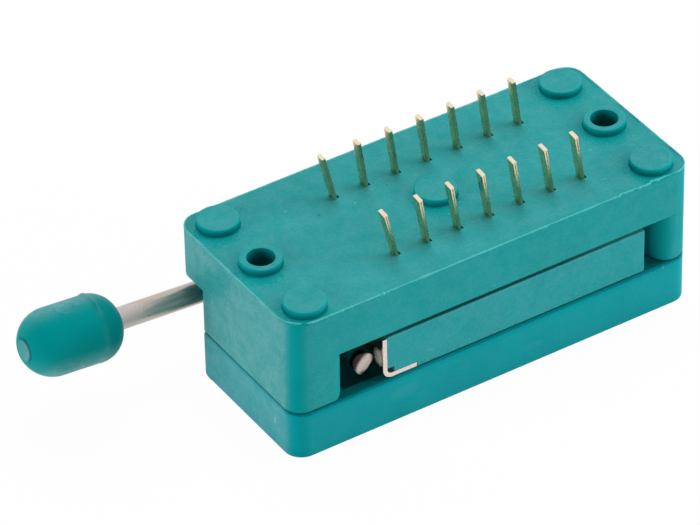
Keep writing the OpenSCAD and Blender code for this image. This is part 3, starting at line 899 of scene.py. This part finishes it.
rings = {
    "inset": 0.24,          # from a foot's rim to the ring's middle
    "bossInset": 0.12,      # from a boss's hole to the ring's middle
    "bead": 0.05,
    "swell": (0.75, 0.5),   # least share of the bead, and what it gains at most
    "knots": 17,
    "proud": 0.018,         # how far the ring stands over the foot
    "turns": 120,
    "sides": 8,
}


def footRings(s):
    # a small circle carried round each foot, and round each boss's hole; it swells and thins a little
    places = [(*foot, body["footRadius"] - s["inset"]) for foot in feet[:, :2] + feet[:, 2:]]
    places += [(*boss, body["holeRadius"] + s["bossInset"]) for boss in bosses[:, :2] + bosses[:, 2:]]
    turn = np.arange(s["turns"])[:, None] / s["turns"] * 2 * pi
    a = np.arange(s["sides"]) / s["sides"] * 2 * pi
    shells = []
    for number, (x, y, radius) in enumerate(places):
        swollen = s["swell"][0] + s["swell"][1] * smoothNoise(s["turns"], s["knots"], number)
        bead = s["bead"] * swollen[:, None]
        reach = radius + bead * np.cos(a)
        z = np.broadcast_to(seatZ + s["proud"] - s["bead"] + bead * np.sin(a), reach.shape)
        grid = np.stack([x + reach * np.cos(turn), y + reach * np.sin(turn), z], axis=-1) * mm
        shells.append((grid.reshape(-1, 3), gridQuads(*grid.shape[:2], closeRows=True).tolist()))
    return joined(*shells)


settle(addMesh("footRings", *footRings(rings)), "housing", "housing_plastic", (wornEdgeHighlightPlastic,))
print("flash and rings made")


# Lever: rod and knob share the lever's own frame, arm along -X and the pivot at the origin

leverJoint = next(joint for joint in frame["joints"] if joint["name"] == "lever_turn")
lever = {
    "tilt": 4.0,            # degrees that the closed arm rises
    "rodRadius": 0.8,
    "crankThrow": 0.9,
    "crankEnd": -6.5,       # the crank's free end, across the body
    "journal": 2.4,         # half length of the journal
    "slope": 1.0,           # length of the slopes between the journal and the crank
    "crankBend": 0.6,
    "armY": 6.18,
    "bend": 1.5,
    "bendSteps": 24,
    "reach": 18.3,          # from the pivot to the knob's outer end
    "boreRoom": 0.1,        # between the rod's end and the bottom of the knob's bore
    "step": 0.16,
    "sides": 48,
    "capSizes": (0.04, 0.15, 0.3, 0.45, 0.6, 0.72, 0.82, 0.9, 0.96, 0.99),    # rings on the sheared end
    "capRound": 0.05,       # how far the sheared end's rim falls back
    "shearTurn": 55,        # the bright oval on the sheared end rises this many degrees
    "shearOval": (1.0, 0.56),       # half sizes of the bright oval, as shares of the radius
    "shearFall": 0.45,      # how far the end falls away round the oval
    "shearBlend": (1, 0.6, 0.2),    # shares of the fall that the rod's first rings take
    "shearGroove": (0.015, 0.16),   # line along the oval: depth, half width as a share of the radius
    "shearShadeRise": 4,          # how fast the painted shade on the sheared end grows with the fall
    "shearShadeRings": 5,         # rings of the rod that take the painted shade too
}
knob = {
    "radius": 2.43,
    "length": 7.3,
    "neckRadius": 2.0,
    "flatRadius": 0.95,
    "bore": 4.8,
    "boreGap": 0.02,            # between the rod and its bore
    "poles": (0.05, 0.06),      # radius of the smallest ring, on the flat and at the bore's end
    "rows": (24, 48, 110, 32),  # of points on the flat, the dome, the side and the neck
    "turns": 256,
    "sideFrom": 0.9,            # share of the radius from which a row counts as the side
    "askew": 0.9,               # degrees that the knob sits off the rod's line, its nose up
    "partingFromNeck": 2.07,    # the parting line's place
    "partingRise": (0.014, 0.2),    # height of its ridge all round, and what it gains on top
    "partingTop": 0.75,         # sine of the turn from which it gains
    "partingWidth": 0.10,
    "nicks": (3, 70, 8),        # most gain of the ridge at a nick, number of knots, seed
    "nickTurn": 0.5,            # radians that the nicked half is turned
    "stepDown": 0.016,          # the outer half is this much thinner
    "grooveAt": 0.9,            # share of the flat's radius
    "grooveDepth": 0.30,
    "grooveWidth": 0.10,
    "grooveTurn": 135,          # degrees round the axis, where the groove is deepest
    "grooveLeast": 0.12,        # share of the depth on the other side
    "grooveFade": 0.7,          # power of the cosine by which it fades between them
    "grooveReach": 0.5,         # from the flat along the axis
    "grooveShade": 0.75,        # painted shade in it
    "scuff": (4.0, 88, 0.62, 13, 0.09),     # place from the neck, turn, half length, half turn, depth
    "scuffRim": (0.6, 1.2, 0.22),   # its rim: share of the depth, place and width as shares of the half sizes
    "neckShade": 0.22,          # painted shade between the parting line and the neck
    "neckShadeFade": 0.15,          # length over which it fades
    "haze": 0.19,               # painted sheen above
    "hazeTurns": (120, 78),     # degrees round the axis, where it begins and where it is full
    "hazePower": 2.5,           # how it grows between them
    "hazeBack": 30,             # and how many degrees before and after the back it fades
    "underHaze": 0.58,          # painted sheen below
    "underFrom": (0.12, 0.6),   # sine of the turn where it begins, and how far it still grows
    "underPower": 1.5,
    "hazeFade": 5,              # how fast both fade over the rounded ends
    "smear": (0.05, 24, 3),     # paler along the parting line, number of knots, seed
    "flatHaze": 0.13,           # painted sheen on the flat
}


def closedLever(points):
    # turns the lever's own frame by its tilt and sets its pivot on the joint
    turn = Matrix.Rotation(radians(lever["tilt"]), 3, "Y")
    return points @ np.array(turn).T * mm + np.array(leverJoint["pos_m"])


def leverRod(s):
    # a circle carried along the crankshaft's flat path; rings of shrinking size close the sheared end
    throw, slopeEnd = s["crankThrow"], s["journal"] + s["slope"]
    tip = -(s["reach"] - knob["length"] + knob["bore"] - s["boreRoom"])
    corners = [(throw, s["crankEnd"]), (throw, -slopeEnd), (0, -s["journal"]), (0, s["journal"]),
               (throw, slopeEnd), (throw, s["armY"] - s["bend"])]
    crank = roundedPath(corners, s["step"], s["crankBend"])
    a = np.linspace(0, pi / 2, s["bendSteps"])[1:, None]
    centre = np.array([throw - s["bend"], s["armY"] - s["bend"]])
    bend = centre + s["bend"] * np.concatenate([np.cos(a), np.sin(a)], axis=1)
    arm = roundedPath([bend[-1], (tip, s["armY"])], s["step"])[1:]
    turn = np.arange(s["sides"]) / s["sides"] * 2 * pi
    section = s["rodRadius"] * np.stack([np.cos(turn), np.sin(turn)], axis=1)
    tube = flatSweep(np.concatenate([crank, bend, arm]), section)
    # the sheared end, seen along the oval and across it, in shares of the radius
    end = tube[0].mean(axis=0)
    size = np.array(s["capSizes"])[:, None, None]
    cap = end + (tube[0] - end) * size
    offX, offZ = np.moveaxis((cap - end)[..., [0, 2]], -1, 0) / s["rodRadius"]
    ridge = np.radians(s["shearTurn"])
    along = offX * np.cos(ridge) + offZ * np.sin(ridge)
    aside = offX * np.sin(ridge) - offZ * np.cos(ridge)
    fall = np.clip(np.hypot(along / s["shearOval"][0], aside / s["shearOval"][1]) - 1, 0, 1)
    depth, width = s["shearGroove"]
    cap[..., 1] += s["shearFall"] * fall + s["capRound"] * size[..., 0] ** 6
    cap[..., 1] -= depth * np.exp(-(aside / width) ** 2)
    blend = np.array(s["shearBlend"])[:, None]
    tube[:len(blend), :, 1] += s["shearFall"] * fall[-1] * blend
    # painted shade on the sheared end's fallen facets and the rod's first rings
    shearShade = np.concatenate([fall, np.zeros(tube.shape[:2])])
    shearShade[len(cap):len(cap) + s["shearShadeRings"]] = fall[-1]
    return cappedTube(closedLever(np.concatenate([cap, tube]))), np.clip(shearShade * s["shearShadeRise"], 0, 1)


def knobProfile(s):
    # half section from the outer flat over the body to the rod's hole: (distance from the neck, radius)
    big, neck = s["radius"], s["neckRadius"]
    flatRows, domeRows, sideRows, neckRows = s["rows"]
    flatAngle = np.arcsin(s["flatRadius"] / big)
    noseX = s["length"] - big * np.cos(flatAngle)
    flatR = np.linspace(s["poles"][0], s["flatRadius"], flatRows)[:-1]
    flatLine = np.stack([np.full(len(flatR), s["length"]), flatR], axis=1)
    dome = np.linspace(flatAngle, pi / 2, domeRows)
    domeLine = np.stack([noseX + big * np.cos(dome), big * np.sin(dome)], axis=1)
    along = np.linspace(noseX, neck, sideRows)[1:-1]
    sideLine = np.stack([along, np.full(len(along), big)], axis=1)
    turnIn = np.linspace(0, pi / 2, neckRows)
    neckLine = np.stack([neck - neck * np.sin(turnIn), big - neck + neck * np.cos(turnIn)], axis=1)
    boreR = lever["rodRadius"] + s["boreGap"]
    hole = np.array([(0, boreR), (s["bore"], boreR), (s["bore"], s["poles"][1])])
    outer = np.concatenate([flatLine, domeLine, sideLine, neckLine[neckLine[:, 1] > boreR]])
    return np.concatenate([outer, hole]), len(outer)


def leverKnob(s):
    # the half section carried round the arm's axis, with a parting ridge that is strongest on top, a groove
    # beside the flat and a shallow scuff
    profile, outerRows = knobProfile(s)
    turn = np.arange(s["turns"]) / s["turns"] * 2 * pi
    x, r = [np.repeat(column[:, None], s["turns"], axis=1) for column in profile.T]
    skin = (np.arange(len(profile)) < outerRows)[:, None]
    onSide = skin & (r > s["radius"] * s["sideFrom"])
    # parting ridge and step
    fromLine = (x - s["partingFromNeck"]) / s["partingWidth"]
    onTop = np.clip((np.sin(turn) - s["partingTop"]) / (1 - s["partingTop"]), 0, 1)
    gain, knots, seed = s["nicks"]
    nicks = smoothNoise(s["turns"], knots, seed) ** 3 * np.clip(np.sin(turn - s["nickTurn"]), 0, 1)
    rise = s["partingRise"][0] * (1 + gain * nicks) + s["partingRise"][1] * onTop
    r = r + onSide * rise * np.exp(-fromLine ** 2)
    r = r - skin * s["stepDown"] / (1 + np.exp(-2 * fromLine)) * (r > s["flatRadius"])
    # scuff with its rim
    place, scuffTurn, halfLength, halfTurn, depth = s["scuff"]
    rimHeight, rimPlace, rimWidth = s["scuffRim"]
    aside = np.degrees(np.angle(np.exp(1j * (turn - np.radians(scuffTurn)))))
    away = np.hypot((x - place) / halfLength, aside / halfTurn)
    rim = rimHeight * np.exp(-((away - rimPlace) / rimWidth) ** 2)
    r = r - onSide * depth * (np.exp(-away ** 4) - rim)
    # groove beside the flat
    deepest = np.clip(np.cos(turn - np.radians(s["grooveTurn"])), 0, 1) ** s["grooveFade"]
    fromGroove = (r - s["flatRadius"] * s["grooveAt"]) / s["grooveWidth"]
    grooved = np.exp(-fromGroove ** 2) * (x > s["length"] - s["grooveReach"]) * skin
    x = x - s["grooveDepth"] * grooved * (s["grooveLeast"] + (1 - s["grooveLeast"]) * deepest)
    askew = (x - s["length"] / 2) * np.tan(np.radians(s["askew"]))
    along = -(x + lever["reach"] - s["length"])
    points = np.stack([along, lever["armY"] + r * np.cos(turn), askew + r * np.sin(turn)], axis=-1)
    # painted shade at the neck and in the groove, painted sheen above and below
    shadeAndStains = s["neckShade"] / (1 + np.exp((x - s["partingFromNeck"]) / s["neckShadeFade"])) * skin
    shadeAndStains = shadeAndStains + s["grooveShade"] * grooved * deepest
    degrees = (np.degrees(turn) + 90) % 360 - 90
    start, full = s["hazeTurns"]
    above = np.clip((start - degrees) / (start - full), 0, 1) ** s["hazePower"]
    above = above * np.clip((degrees + s["hazeBack"]) / (2 * s["hazeBack"]), 0, 1)
    below = np.clip(s["underFrom"][0] - np.sin(turn), 0, s["underFrom"][1]) ** s["underPower"]
    smear, knots, seed = s["smear"]
    smeared = smear * np.exp(-(fromLine / 2) ** 2) * smoothNoise(s["turns"], knots, seed)
    haze = (s["haze"] * above + s["underHaze"] * below) * (r / s["radius"]) ** s["hazeFade"] + smeared
    haze = np.where(r < s["flatRadius"], s["flatHaze"] * (1 - grooved), haze)
    return cappedTube(closedLever(points)), shadeAndStains, haze * skin


rodShape, shearShade = leverRod(lever)
rod = addMesh("leverRod", *rodShape)
paint(rod, "shearShade", shearShade)
settle(rod, "lever_arm", "rod_steel", (rodSteel,), "lever")
knobShape, neckShade, knobPaintedSheen = leverKnob(knob)
knobPiece = addMesh("leverKnob", *knobShape)
# painted shade at the neck and in the groove, and painted sheen
paint(knobPiece, "shadeAndStains", neckShade)
paint(knobPiece, "paintedLightAndMarks", knobPaintedSheen)
settle(knobPiece, "lever_arm", "knob_plastic", (knobPlastic,), "lever_knob")
print("lever made")


# Contacts

contact = {
    "perRow": 7,
    "tailWidth": 0.68,
    "tailThick": 0.30,
    "tailRound": 0.06,
    "tailRoundPoints": 5,
    "tailLength": 3.92,
    "tailBend": 0.5,
    "tailStep": 0.12,
    "tailRoot": 0.1,        # how far the tail reaches down past the top of its bridge
    "tipChamfer": 0.07,
    "tipInset": (0, 0.3, 0.7, 0.92, 1.0),   # rings of the coined tip: how far they are drawn in
    "tipDrop": (1, 0.6, 0.2, 0.04, 0.0),    # and how far they lie below it, as shares of the chamfer
    "tipThin": 0.7,         # share of the inset across the thin side
    "tipClear": 1.2,        # the rings below keep this many chamfers from the tip
    "tipHighlightLength": 0.10,      # length of the painted highlight at the tip
    "lean": 8.0,            # degrees
    "firstLean": 13.3,      # of the first tail in each row
    "frontLean": 9.2,       # of the others in the front row
    "frontTwist": -4.0,     # degrees that the front row's tails are twisted at their tips
    "frontSwell": (0.1, 0.26),      # how much thicker and wider the cropping tool left the front row's tips
    "sideHighlightAndBare": (0.36, 0.71),         # shares of the length where the painted highlight on the front row's narrow sides and its bare strip begin, and where they are full
    "bridgeZ": 8.65,
    "armWidth": 1.4,
    "armThick": 0.2,
    "armRound": 0.05,
    "armRoundPoints": 3,
    "armBend": 0.15,
    "armStep": 0.2,
    "armAt": 0.35,          # arms' middle from the contact's centre
    "nipStart": 5.0,        # height where the arms turn in
    "nip": (0.25, 2.2),     # from the contact's centre, and height
    "tip": (0.45, 1.2),     # as above
}


def roundedSection(halfX, halfY, radius, steps):
    # rounded rectangle with a point in the middle of each side
    a = np.linspace(0, pi / 2, steps)
    parts = []
    for quarter, (sx, sy) in enumerate(((1, 1), (-1, 1), (-1, -1), (1, -1))):
        turn = a + quarter * pi / 2
        centre = np.array([sx * (halfX - radius), sy * (halfY - radius)])
        parts.append(centre + radius * np.stack([np.cos(turn), np.sin(turn)], axis=1))
        parts.append(np.array([[0, halfY], [-halfX, 0], [0, -halfY], [halfX, 0]])[quarter][None])
    return np.concatenate(parts)


def tailBlade(s, lean, front):
    # a rounded blade carried up from the bridge, bent at the deck by its lean; the front row's blades are
    # twisted and swollen towards their coined tips
    halfThick, halfWidth = s["tailThick"] / 2, s["tailWidth"] / 2
    way = np.array([-sin(radians(lean)), cos(radians(lean))])
    tip = np.array([0, deckZ]) + way * s["tailLength"]
    path = roundedPath([(0, s["bridgeZ"] - s["tailRoot"]), (0, deckZ), tip], s["tailStep"], s["tailBend"])
    inset, drop = np.array([s["tipInset"], s["tipDrop"]]) * s["tipChamfer"]
    below = np.linalg.norm(path - tip, axis=1) > s["tipChamfer"] * s["tipClear"]
    path = np.concatenate([path[below], tip - way * drop[:, None]])
    narrow = np.concatenate([np.zeros(len(path) - len(inset)), inset])[:, None]
    section = roundedSection(halfThick, halfWidth, s["tailRound"], s["tailRoundPoints"])
    rise = np.clip((path[:, 1:] - deckZ) / s["tailLength"], 0, 1)
    thicker, wider = s["frontSwell"]
    flatX = section[:, 0] * (1 - narrow * s["tipThin"] / halfThick) * (1 + front * thicker * rise ** 2)
    flatY = section[:, 1] * (1 - narrow / halfWidth) * (1 + front * wider * rise)
    turn = radians(s["frontTwist"]) * front * rise
    across = flatX * np.cos(turn) - flatY * np.sin(turn)
    y = flatX * np.sin(turn) + flatY * np.cos(turn)
    blade = np.stack([path[:, :1] + across * way[1], y, path[:, 1:] - across * way[0]], axis=-1)
    # finishes: painted shade on the narrow sides, a painted highlight on the front row's upper narrow sides
    # with the bare strip in its middle, and a painted highlight at the tip
    narrowSide = np.abs(section[:, 1]) > halfWidth - s["tailRound"] / 2
    start, full = s["sideHighlightAndBare"]
    sideHighlightAndBare = narrowSide * front * np.clip((rise - start) / (full - start), 0, 1)
    inMiddle = np.abs(section[:, 0]) < touch
    tipHighlight = np.linalg.norm(path - tip, axis=1)[:, None] < s["tipHighlightLength"]
    layers = {"cutEdge": sideHighlightAndBare * inMiddle, "narrowSide": sideHighlightAndBare, "tipHighlight": tipHighlight, "sideShade": narrowSide}
    return blade, {name: np.broadcast_to(layer, blade.shape[:2]) for name, layer in layers.items()}


def springArms(s):
    # a flat strip carried from one arm's tip up over the bridge and down to the other's
    halfThick, halfWidth = s["armThick"] / 2, s["armWidth"] / 2
    half = [s["tip"], s["nip"], (s["armAt"], s["nipStart"]), (s["armAt"], s["bridgeZ"] - halfThick)]
    corners = half + [(-x, z) for x, z in half[::-1]]
    path = roundedPath(corners, s["armStep"], s["armBend"])
    section = roundedSection(halfThick, halfWidth, s["armRound"], s["armRoundPoints"])
    return flatSweep(path, section)[..., [0, 2, 1]]


arms = cappedTube(springArms(contact))
armNone = np.zeros(len(arms[0]))
for number, (node, place) in enumerate(zip(contactNodes, contactPlaces)):
    front = number < contact["perRow"]
    lean = contact["frontLean" if front else "lean"]
    lean = contact["firstLean"] if number % contact["perRow"] == 0 else lean
    blade, layers = tailBlade(contact, lean, front)
    points, faces = joined(cappedTube(blade), arms)
    piece = addMesh(f"goldContact{number + 1:02d}", (points + (*place, 0)) * mm, faces)
    for name, layer in layers.items():
        paint(piece, name, np.concatenate([layer.ravel(), armNone]))
    settle(piece, "housing", "contact_gold", (contactGold,), node)
print("contacts made:", len(contactPlaces))


# Floor, light and camera

studio = {
    "floorColour": (0.92, 0.92, 0.92),
    "floorSize": 6,             # metres
    "floorDrop": 0.05,          # mm, so that no face of the object lies in the floor
    "floorShow": 0.97,          # share of plain white in what the camera and mirrors see of the floor
    "worldLight": 0.02,
    "lampSize": 0.30,           # metres
    "lampFar": 0.55,            # metres
    "lamps": {                  # from the object: degrees from +X towards +Y, degrees up, then watts
        "topBox": (60, 75, 1.47),
        "backBox": (75, 40, 0.6),
        "rightBackBox": (-15, 40, 0.8),
        "rightBox": (-30, 12, 1.65),
        "frontBox": (-80, 12, 0.62),
        "leftBox": (177, 12, 1.82),
    },
}


def seenDirectly(tree):
    # one for camera, glossy and transmission rays
    rays = addNode(tree, "LightPath").outputs
    either = sums(tree, "MAXIMUM", rays["Is Camera Ray"], rays["Is Glossy Ray"])
    return sums(tree, "MAXIMUM", either, rays["Is Transmission Ray"])


def makeStudio(s):
    bpy.ops.mesh.primitive_plane_add(size=s["floorSize"], location=(0, 0, -s["floorDrop"] * mm))
    floor = bpy.context.object
    floor.name = "floor"
    material, tree = newMaterial("floorPaper")
    tree.nodes.clear()
    matte = addNode(tree, "BsdfDiffuse", Color=s["floorColour"])
    white = addNode(tree, "Emission", Strength=1.0)
    share = sums(tree, "MULTIPLY", seenDirectly(tree), s["floorShow"])
    mix = addNode(tree, "MixShader", i0=share, i1=matte.outputs[0], i2=white.outputs[0])
    addNode(tree, "OutputMaterial", Surface=mix.outputs[0])
    floor.data.materials.append(material)
    world = bpy.data.worlds.new("studio")
    bpy.context.scene.world = world
    world.use_nodes = True
    tree = world.node_tree
    strength = sums(tree, "MAXIMUM", seenDirectly(tree), s["worldLight"])
    background = tree.nodes["Background"].inputs
    feed(tree, background["Strength"], strength)
    feed(tree, background["Color"], (1, 1, 1))
    for name, (around, up, watts) in s["lamps"].items():
        light = bpy.data.lights.new(name, "AREA")
        light.size, light.energy = s["lampSize"], watts
        lamp = addObject(name, light)
        a, b = radians(around), radians(up)
        toLamp = Vector((cos(a) * cos(b), sin(a) * cos(b), sin(b)))
        lamp.location = toLamp * s["lampFar"]
        lamp.rotation_euler = (-toLamp).to_track_quat("-Z", "Y").to_euler()
        lamp.visible_glossy = False


view = {
    "lens": 288.095,                    # mm
    "clip": (0.01, 20),                 # metres
    "aim": (-5.070, 3.113, 5.537),      # mm, on the lens axis
    "distance": 385.65,                 # mm
    "azimuth": -32.2008,                # degrees, as are the next two
    "elevation": 37.5855,
    "roll": -1.2607,
}


def makeCamera(s):
    camera = addObject("camera", bpy.data.cameras.new("camera"))
    camera.data.lens = s["lens"]
    camera.data.clip_start, camera.data.clip_end = s["clip"]
    turn, rise = radians(s["azimuth"]), radians(s["elevation"])
    back = Vector((sin(turn) * cos(rise), -cos(turn) * cos(rise), sin(rise)))
    facing = (-back).to_track_quat("-Z", "Y").to_matrix() @ Matrix.Rotation(radians(s["roll"]), 3, "Z")
    place = (Vector(s["aim"]) + back * s["distance"]) * mm
    camera.matrix_world = Matrix.Translation(place) @ facing.to_4x4()
    bpy.context.scene.camera = camera


makeStudio(studio)
makeCamera(view)
bpy.context.scene.view_settings.view_transform = "Standard"
print("studio and camera set")
